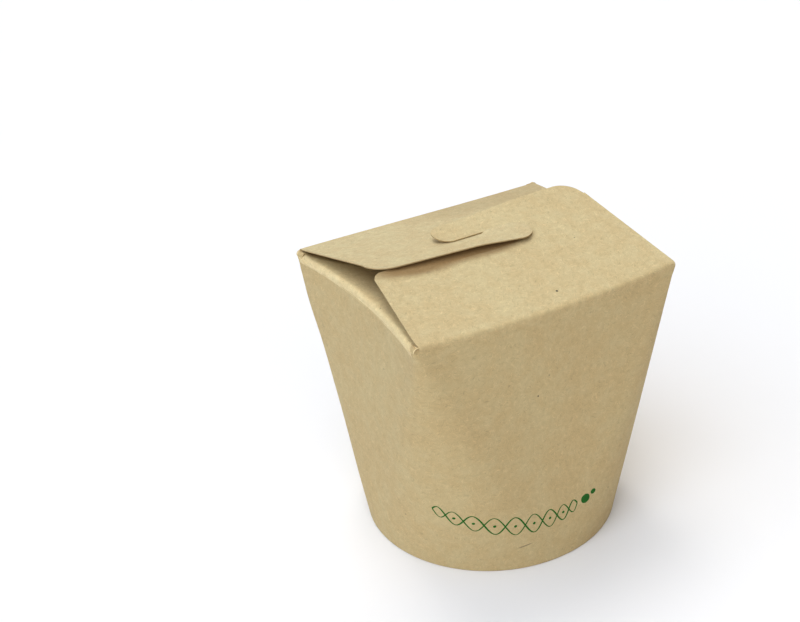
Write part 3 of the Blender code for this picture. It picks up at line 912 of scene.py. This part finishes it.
def folded_block(along, edge, fold_height, height, fold, ends, rows, lip_narrower=0.0):
    """The first block of a flap: a lip on the wall, the fold's arc, then rows to the block's far edge.

    along(v) gives the columns' places at a share v of the way, edge(a, z) the wall's distance from the
    middle, and ends(a) the distance where the block stops. A narrower lip leaves the fold's end free as
    a small nub. The answer: place along, distance, height, distance along the board, and fold mask.
    """
    reach, rise = fold
    base = along(0.0)
    start = edge(base, fold_height)
    top = height(base, start)
    arc_low = top + rise[0]
    lip = np.linspace(0.0, 1.0, LIP_ROWS)[:-1, None]
    lip_z = LIP_LOW + (arc_low - LIP_LOW) * lip
    narrower = 1.0 - lip_narrower * (1.0 - smooth_rise(lip, *LIP_WIDENS))
    lip_a = base * narrower
    lip_d = edge(lip_a, lip_z) * (1.0 - lip) + start * lip + OUTSIDE
    arc_a = np.broadcast_to(base, (len(reach), len(base)))
    arc_d = start + OUTSIDE * np.linspace(1.0, 0.0, len(reach))[:, None] - reach[:, None]
    arc_z = top + rise[:, None]
    share = np.linspace(0.0, 1.0, rows + 1)[1:, None]
    run_a = np.stack([along(v) for v in share[:, 0]])
    near = start - reach[-1]
    run_d = near + (ends(run_a) - near) * share
    run_z = height(run_a, run_d)
    a = np.concatenate([lip_a, arc_a, run_a])
    d = np.concatenate([lip_d, arc_d, run_d])
    z = np.concatenate([lip_z, arc_z, run_z])
    steps = np.hypot(np.diff(d, axis=0), np.diff(z, axis=0))
    along_board = np.concatenate([np.zeros((1, a.shape[1])), np.cumsum(steps, axis=0)])
    middle = along_board[len(lip) + len(reach) // 2]
    return a, d, z, along_board + LIP_LOW, bell(along_board, middle, FOLD_MASK_WIDTH)


# %% [markdown]
# ## The front flap
#
# Its outline in plan: two slanting sides, a wide round corner at the far right, the tongue past the slit
# on the left, and the notch under it. A Boolean cut of a flat sheet would leave ragged triangles, so the
# flap is made of blocks whose edges are the outline itself.

# %% The front flap's blocks
FRONT_LEFT_WIDTH = 0.0494
FRONT_RIGHT_WIDTH = 0.0512
FRONT_LEFT_TAPER = 0.107
FRONT_RIGHT_TAPER = 0.085
FRONT_FAR_EDGE = 0.0125
FRONT_CORNER_RADIUS = 0.0081
FRONT_NOTCH_RADIUS = 0.0040
FRONT_TONGUE_X = -0.0098
CORNER_TURN = 0.0003
CORNER_TURN_REACH = 0.0030
FLAP_ROWS = 34
STRIP_ROWS = 7
FAR_ROWS = 25


def shares_with_arc(length, radius, straight, round_steps):
    """Shares from 0 to 1 along a block: even ones, then ones that follow a quarter circle at the end."""
    even = np.linspace(0.0, length - radius, straight + 1)
    curve = length - radius + radius * np.sin(np.linspace(0.0, math.pi / 2.0, round_steps + 1)[1:])
    return np.concatenate([even, curve]) / length


def corner_turn(inward):
    """How far a flap's edge turns in near its fold, round the end of the side flap's fold."""
    return CORNER_TURN * (1.0 - smooth_rise(inward, 0.0, CORNER_TURN_REACH))


def make_front_flap():
    """Left and right blocks up to the notch line, a strip to the slit, then the far strip and the tongue."""

    def right_edge(y):
        return FRONT_RIGHT_WIDTH - FRONT_RIGHT_TAPER * (y + HALF_DEPTH)

    notch_left = -FRONT_LEFT_WIDTH + FRONT_LEFT_TAPER * (NOTCH_Y + HALF_DEPTH)
    corner_x = notch_left + FRONT_NOTCH_RADIUS
    arc_low = NOTCH_Y - FRONT_NOTCH_RADIUS
    split = SLIT_END_RIGHT
    far_x = right_edge(FRONT_FAR_EDGE) - FRONT_CORNER_RADIUS
    corner_low = FRONT_FAR_EDGE - FRONT_CORNER_RADIUS
    right_end = right_edge(corner_low)
    left_shares = 1.0 - shares_with_arc(split - notch_left, FRONT_NOTCH_RADIUS, 40, 10)[::-1]
    right_shares = shares_with_arc(right_end - split, FRONT_CORNER_RADIUS, 34, 14)

    def left_columns(v):
        start = -FRONT_LEFT_WIDTH + (notch_left + FRONT_LEFT_WIDTH) * v + corner_turn(v * HALF_DEPTH)
        return start + (split - start) * left_shares

    def right_columns(v):
        end = FRONT_RIGHT_WIDTH + (right_edge(NOTCH_Y) - FRONT_RIGHT_WIDTH) * v
        return split + (end - split) * right_shares

    def left_stop(x):
        return -(arc_low + round_end(corner_x - x, FRONT_NOTCH_RADIUS))

    def straight_stop(_):
        return -NOTCH_Y

    def height(x, d):
        return front_height(x, -d)

    def plain(x, y):
        return block_of(x, y, front_height(x, y), x, board_v + y - NOTCH_Y)

    fold = fold_rows(MAIN_FOLD_RADIUS, ROOF_SLOPE)
    blocks = []
    for columns, stop in ((left_columns, left_stop), (right_columns, straight_stop)):
        a, d, z, v, mask = folded_block(columns, front_edge, FRONT_FOLD, height, fold, stop, FLAP_ROWS)
        blocks.append(block_of(a, -d, z, a, v, mask))
    board_v = v[-1].mean()

    y = NOTCH_Y * (1.0 - np.linspace(0.0, 1.0, STRIP_ROWS)[:, None])
    blocks.append(plain(split + (right_edge(y) - split) * right_shares, y))

    rows = np.linspace(0.0, 1.0, FAR_ROWS)[:, None]
    end = right_edge(0.0) + (right_end - right_edge(0.0)) * rows
    tongue_top = 2.0 * TONGUE_RADIUS
    slope = (FRONT_FAR_EDGE - tongue_top) / (far_x - FRONT_TONGUE_X)
    far_columns = split + (right_end - split) * right_shares
    line = tongue_top + slope * (far_columns - FRONT_TONGUE_X)
    far_edge = np.minimum(line, corner_low + round_end(far_columns - far_x, FRONT_CORNER_RADIUS))
    blocks.append(plain(split + (end - split) * right_shares, far_edge * rows))

    tip = FRONT_TONGUE_X - TONGUE_RADIUS
    tongue_shares = 1.0 - shares_with_arc(split - tip, TONGUE_RADIUS, 14, 14)[::-1]
    x = tip + (split - tip) * tongue_shares
    half = round_end(FRONT_TONGUE_X - x, TONGUE_RADIUS)
    low = TONGUE_RADIUS - half
    high = np.where(x < FRONT_TONGUE_X, TONGUE_RADIUS + half, tongue_top + slope * (x - FRONT_TONGUE_X))
    blocks.append(plain(x, low + (high - low) * rows))
    return board_piece("front_flap_board", blocks, board_front)


front_flap = make_front_flap()
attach(front_flap, "root")
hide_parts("front_flap")
report(front_flap)

# %% [markdown]
# ## The back flap
#
# The back flap mirrors the front one: its slit comes in from the right, its tongue points right and lies
# over the front flap, and its left corner is a wide round one.

# %% The back flap's blocks
BACK_HALF_WIDTH = 0.0499
BACK_TAPER = 0.150
BACK_TONGUE_X = 0.0113
BACK_CORNER_X = -0.0345
BACK_CORNER_Y = 0.0030
BACK_CORNER_RADIUS = 0.0092
BACK_RIGHT_RADIUS = 0.0040
NEAR_LINE_START = -0.03578
NEAR_LINE_END = 0.01052
LEFT_ARC_END = math.radians(170.0)
NEAR_ROWS = 31
BACK_SHEET_SHIFT = 0.3


def back_left_edge(y):
    """The left edge in plan: a slanting line from the fold, then the wide corner's arc."""
    arc_y = BACK_CORNER_Y + BACK_CORNER_RADIUS * math.sin(LEFT_ARC_END)
    arc_x = BACK_CORNER_X + BACK_CORNER_RADIUS * math.cos(LEFT_ARC_END)
    line = -BACK_HALF_WIDTH + (arc_x + BACK_HALF_WIDTH) * (HALF_DEPTH - y) / (HALF_DEPTH - arc_y)
    arc = BACK_CORNER_X - round_end(np.abs(y - BACK_CORNER_Y), BACK_CORNER_RADIUS)
    return np.where(y > arc_y, line, arc)


def back_near_edge(x):
    """The near edge: the corner's arc, a straight line, and the lower half of the tongue's circle."""

    def corner_arc(x):
        return BACK_CORNER_Y - round_end(np.abs(x - BACK_CORNER_X), BACK_CORNER_RADIUS)

    def tongue_arc(x):
        return -TONGUE_RADIUS - round_end(np.abs(x - BACK_TONGUE_X), TONGUE_RADIUS)

    from_y = corner_arc(NEAR_LINE_START)
    to_y = tongue_arc(NEAR_LINE_END)
    share = (x - NEAR_LINE_START) / (NEAR_LINE_END - NEAR_LINE_START)
    line = from_y + (to_y - from_y) * share
    return np.where(x < NEAR_LINE_START, corner_arc(x), np.where(x > NEAR_LINE_END, tongue_arc(x), line))


def make_back_flap():
    """Blocks behind the slit, a strip beside it, and two blocks out to the near edge and the tongue."""
    split = SLIT_END_LEFT
    right_line = BACK_HALF_WIDTH - BACK_TAPER * (HALF_DEPTH - SLIT_OPENING)
    tip = BACK_TONGUE_X + TONGUE_RADIUS
    left_zero = float(back_left_edge(np.array(0.0)))
    left_shares = 1.0 - shares_with_arc(split - left_zero, BACK_CORNER_RADIUS, 46, 18)[::-1]
    right_shares = shares_with_arc(right_line - split, BACK_RIGHT_RADIUS, 40, 8)

    def left_columns(v):
        start = back_left_edge(HALF_DEPTH + (SLIT_OPENING - HALF_DEPTH) * v) + corner_turn(v * HALF_DEPTH)
        return start + (split - start) * left_shares

    def right_columns(v):
        end = BACK_HALF_WIDTH + (right_line - BACK_HALF_WIDTH) * v - corner_turn(v * HALF_DEPTH)
        return split + (end - split) * right_shares

    def left_stop(_):
        return SLIT_OPENING

    def right_stop(x):
        past = x - (right_line - BACK_RIGHT_RADIUS)
        return SLIT_OPENING + BACK_RIGHT_RADIUS - round_end(past, BACK_RIGHT_RADIUS)

    slope = (front_plane(0.0) - LIFT - BACK_FOLD) / HALF_DEPTH
    fold = fold_rows(MAIN_FOLD_RADIUS, slope)
    blocks = []
    for columns, stop in ((left_columns, left_stop), (right_columns, right_stop)):
        a, d, z, v, mask = folded_block(columns, back_edge, BACK_FOLD, back_height, fold, stop, FLAP_ROWS)
        blocks.append(block_of(a, d, z, a + BACK_SHEET_SHIFT, v, mask))
    board_v = blocks[0][-1, :, SHEET_V].mean()

    def plain(x, y):
        return block_of(x, y, back_height(x, y), x + BACK_SHEET_SHIFT, board_v + SLIT_OPENING - y)

    y = np.linspace(SLIT_OPENING, 0.0, STRIP_ROWS)[:, None]
    start = back_left_edge(y)
    blocks.append(plain(start + (split - start) * left_shares, y))
    rows = np.linspace(0.0, 1.0, NEAR_ROWS)[:, None]
    x = left_zero + (split - left_zero) * left_shares
    blocks.append(plain(x, back_near_edge(x) * rows))
    tongue_shares = shares_with_arc(tip - split, TONGUE_RADIUS, 24, 16)
    x = split + (tip - split) * tongue_shares
    top = -TONGUE_RADIUS + round_end(x - BACK_TONGUE_X, TONGUE_RADIUS)
    blocks.append(plain(x, top + (back_near_edge(x) - top) * rows))
    return board_piece("back_flap_board", blocks, board_back)


back_flap = make_back_flap()
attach(back_flap, "root")
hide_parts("back_flap")
report(back_flap)

# %% [markdown]
# ## The side flaps
#
# They fold in first and slope down into the box, so only their folds and a shadowed triangle show. The
# fold of each stands a little proud at its two ends, where the board is free of its neighbours.

# %% A side flap and its mirror image
SIDE_LENGTH = 0.0465
SIDE_HALF_WIDTH = 0.0430
SIDE_LIP_NARROWER = 0.045
NUB_OUT = -0.00020
NUB_UP = 0.0013
NUB_LENGTH = 0.0060
NUB_FADE = (0.001, 0.006)
EDGE_STRAIGHTENS = (WALL_HEIGHT - 0.0024, WALL_HEIGHT - 0.0014)
SIDE_TAPER = 0.20
SIDE_CORNER_RADIUS = 0.008
SIDE_ROWS = 40
SIDE_SHEET_SHIFT = 0.15


def make_side_flap(name, side):
    """side is -1 for the left flap and +1 for its mirror image on the right."""
    free_half = SIDE_HALF_WIDTH - SIDE_TAPER * SIDE_LENGTH
    free_end = TOP_WIDTH / 2.0 - SIDE_LENGTH
    half_shares = shares_with_arc(free_half, SIDE_CORNER_RADIUS, 24, 10)
    shares = np.concatenate([-half_shares[::-1], half_shares[1:]])

    def columns(v):
        return (SIDE_HALF_WIDTH + (free_half - SIDE_HALF_WIDTH) * v) * shares

    def stop(y):
        past = np.abs(y) - (free_half - SIDE_CORNER_RADIUS)
        return free_end + SIDE_CORNER_RADIUS - round_end(past, SIDE_CORNER_RADIUS)

    def nub(y):
        return smooth_rise(np.abs(y), SIDE_HALF_WIDTH - NUB_LENGTH, SIDE_HALF_WIDTH)

    def edge(y, height):
        rounded = side_edge(y, height)
        straight = TOP_WIDTH / 2.0 - SIDE_PINCH * (1.0 - (y / HALF_DEPTH) ** 2)
        share = smooth_rise(height, *EDGE_STRAIGHTENS)
        return rounded + (straight + NUB_OUT * nub(y) - rounded) * share

    def height(y, distance):
        inward = edge(y, WALL_HEIGHT) - distance
        lift = NUB_UP * nub(y) * (1.0 - smooth_rise(inward, *NUB_FADE))
        return WALL_HEIGHT + SIDE_SLOPE * inward + lift

    fold = fold_rows(SIDE_FOLD_RADIUS, SIDE_SLOPE)
    lip = SIDE_LIP_NARROWER
    a, d, z, v, mask = folded_block(columns, edge, WALL_HEIGHT, height, fold, stop, SIDE_ROWS, lip)
    block = block_of(side * d, a, z, a + SIDE_SHEET_SHIFT * side, v, mask)
    return board_piece(name, [block], board_side)


for node, side in (("side_flap_left", -1), ("side_flap_right", 1)):
    flap = make_side_flap(node + "_board", side)
    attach(flap, "root")
    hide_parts(node)
    report(flap)

# %% [markdown]
# ## The stage: floor, light and camera
#
# A pale floor and six soft suns do the work of a photographer's table and lamps. Two shine from above. A
# strong, cool one from the left throws the shadow to the right, and weaker ones from the front left, the
# front and the back right fill the rest. The camera stands at the front left and looks down.

# %% Floor, world and lights
FLOOR_HALF_SIDE = 3.0
FLOOR_GREY = 0.92
FLOOR_ROUGHNESS = 0.9
WORLD_LIGHT = 0.02
WORLD_SEEN = 1.0
SUNS = (
    ("overhead", (0.0, 0.0, -1.0), 0.64, 60.0, (1.0, 0.95, 0.89)),
    ("overhead from the back", (0.0, -0.35, -1.0), 0.68, 24.0, (1.0, 0.95, 0.89)),
    ("left", (0.9, 0.1, -0.9), 1.54, 80.0, (0.83, 0.93, 1.10)),
    ("front left", (0.6, 0.6, -0.85), 0.74, 60.0, (0.85, 0.91, 1.0)),
    ("front", (0.1, 1.0, -0.8), 0.54, 60.0, (1.0, 0.92, 0.86)),
    ("back right", (-0.4, -0.78, -0.55), 0.80, 50.0, (1.0, 0.985, 0.94)),
)


def make_floor():
    """A large pale square under the box."""
    corner = np.array([[-1, -1, 0], [1, -1, 0], [1, 1, 0], [-1, 1, 0]], float) * FLOOR_HALF_SIDE
    mesh = bpy.data.meshes.new("floor")
    mesh.from_pydata(corner, [], [(0, 1, 2, 3)])
    recipe = Recipe("floor_paint")
    recipe.feed("Base Color", (FLOOR_GREY, FLOOR_GREY, FLOOR_GREY, 1.0))
    recipe.feed("Roughness", FLOOR_ROUGHNESS)
    mesh.materials.append(recipe.material)
    floor = add_object("floor", mesh)


def make_sun(name, direction, energy, angle_deg, colour):
    """A sun that shines along a direction, soft by its angle."""
    light = bpy.data.lights.new(name, "SUN")
    light.energy = energy
    light.angle = math.radians(angle_deg)
    light.color = colour
    lamp = add_object(name, light)
    lamp.rotation_mode = "QUATERNION"
    lamp.rotation_quaternion = Vector(direction).to_track_quat("-Z", "Y")


def make_world():
    """A little even light from all around, and a bright backdrop where the view goes past the floor."""
    world = bpy.data.worlds.new("studio")
    world.use_nodes = True
    tree = world.node_tree
    seen = Flow(tree, tree.nodes.new("ShaderNodeLightPath").outputs["Is Camera Ray"])
    background = tree.nodes["Background"]
    set_input(background.inputs["Color"], (1.0, 1.0, 1.0, 1.0))
    set_input(background.inputs["Strength"], WORLD_LIGHT + seen * (WORLD_SEEN - WORLD_LIGHT))
    bpy.context.scene.world = world


make_floor()
make_world()
for sun in SUNS:
    make_sun(*sun)
print("suns:", len(SUNS))
bpy.context.scene.view_settings.view_transform = "Standard"

# %% The camera
YAW = math.radians(-26.877)
PITCH = math.radians(28.566)
ROLL = math.radians(-4.126)
CAMERA_PLACE = (-0.23239, -0.39353, 0.33047)
LENS_MM = 65.829
SENSOR_MM = 36.0
NEAREST_SEEN = 0.01


def make_camera():
    """Look along the yaw and pitch, then turn about the line of sight by the roll."""
    backward = Vector((math.sin(YAW) * math.cos(PITCH), -math.cos(YAW) * math.cos(PITCH), math.sin(PITCH)))
    level = Vector((math.cos(YAW), math.sin(YAW), 0.0))
    upward = backward.cross(level)
    right = level * math.cos(ROLL) + upward * math.sin(ROLL)
    up = upward * math.cos(ROLL) - level * math.sin(ROLL)
    data = bpy.data.cameras.new("camera")
    data.sensor_fit = "HORIZONTAL"
    data.sensor_width = SENSOR_MM
    data.lens = LENS_MM
    data.clip_start = NEAREST_SEEN
    camera = add_object("camera", data)
    turned = Matrix((right, up, backward)).transposed().to_4x4()
    camera.matrix_world = Matrix.Translation(CAMERA_PLACE) @ turned
    bpy.context.scene.camera = camera


make_camera()
